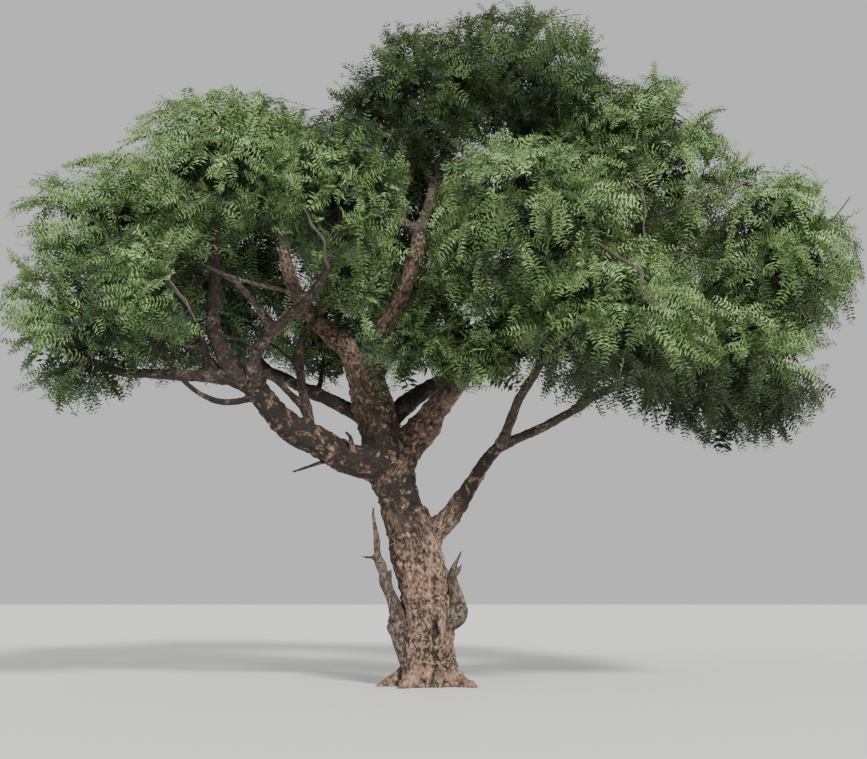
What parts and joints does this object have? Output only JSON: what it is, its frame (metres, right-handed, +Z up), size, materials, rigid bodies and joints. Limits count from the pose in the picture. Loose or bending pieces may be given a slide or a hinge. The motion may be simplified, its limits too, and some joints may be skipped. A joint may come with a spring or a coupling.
{
  "type": "acacia tree",
  "caption": "Spreading acacia tree: a leaning, root-flared trunk forks into crooked boughs under a wide, layered crown of feathery foliage.",
  "frame": {"origin": "middle of the flat cut under the trunk, at ground level", "axes": "+Z up; +X along the crown's widest span; the trunk leans towards -X; the most foliage-clad face is towards -Y"},
  "size_m": [11.2613, 7.7371, 9.4077],
  "materials": {
    "bark": "rough fissured bark, matt",
    "leaf": "small pinnate leaves, softly sheened"
  },
  "bodies": {
    "root": {"back_centre_foliage": "leaf", "back_centre_limb": "bark", "back_east_foliage": "leaf", "back_east_limb": "bark", "back_mid_foliage": "leaf", "back_mid_limb": "bark", "back_west_foliage": "leaf", "back_west_limb": "bark", "centre_east": "bark", "centre_front_foliage": "leaf", "centre_front_limb": "bark", "centre_left": "bark", "centre_limb": "bark", "centre_low_foliage": "leaf", "centre_low_limb": "bark", "centre_right": "bark", "centre_west_foliage": "leaf", "dead_stem_east": "bark", "dead_stem_west": "bark", "east_far_foliage": "leaf", "east_far_limb": "bark", "east_front_foliage": "leaf", "east_hem_foliage": "leaf", "east_high_foliage": "leaf", "east_high_limb": "bark", "east_low_foliage": "leaf", "east_low_limb": "bark", "east_mid_limb": "bark", "east_out": "bark", "east_up": "bark", "inner_brace": "bark", "inner_foliage": "leaf", "inner_riser": "bark", "leader": "bark", "leader_foliage": "leaf", "top_east_foliage": "leaf", "top_foliage": "leaf", "top_west_foliage": "leaf", "trunk": "bark", "west_brace": "bark", "west_cross": "bark", "west_crown_foliage": "leaf", "west_fan": "bark", "west_gnarl": "bark", "west_hoop": "bark", "west_inner": "bark", "west_inner_foliage": "leaf", "west_limb": "bark", "west_low_limb": "bark", "west_low_loop": "bark", "west_riser": "bark", "west_shoulder_foliage": "leaf", "west_stub": "bark", "west_tip_foliage": "leaf", "west_twin": "bark"}
  },
  "joints": []
}
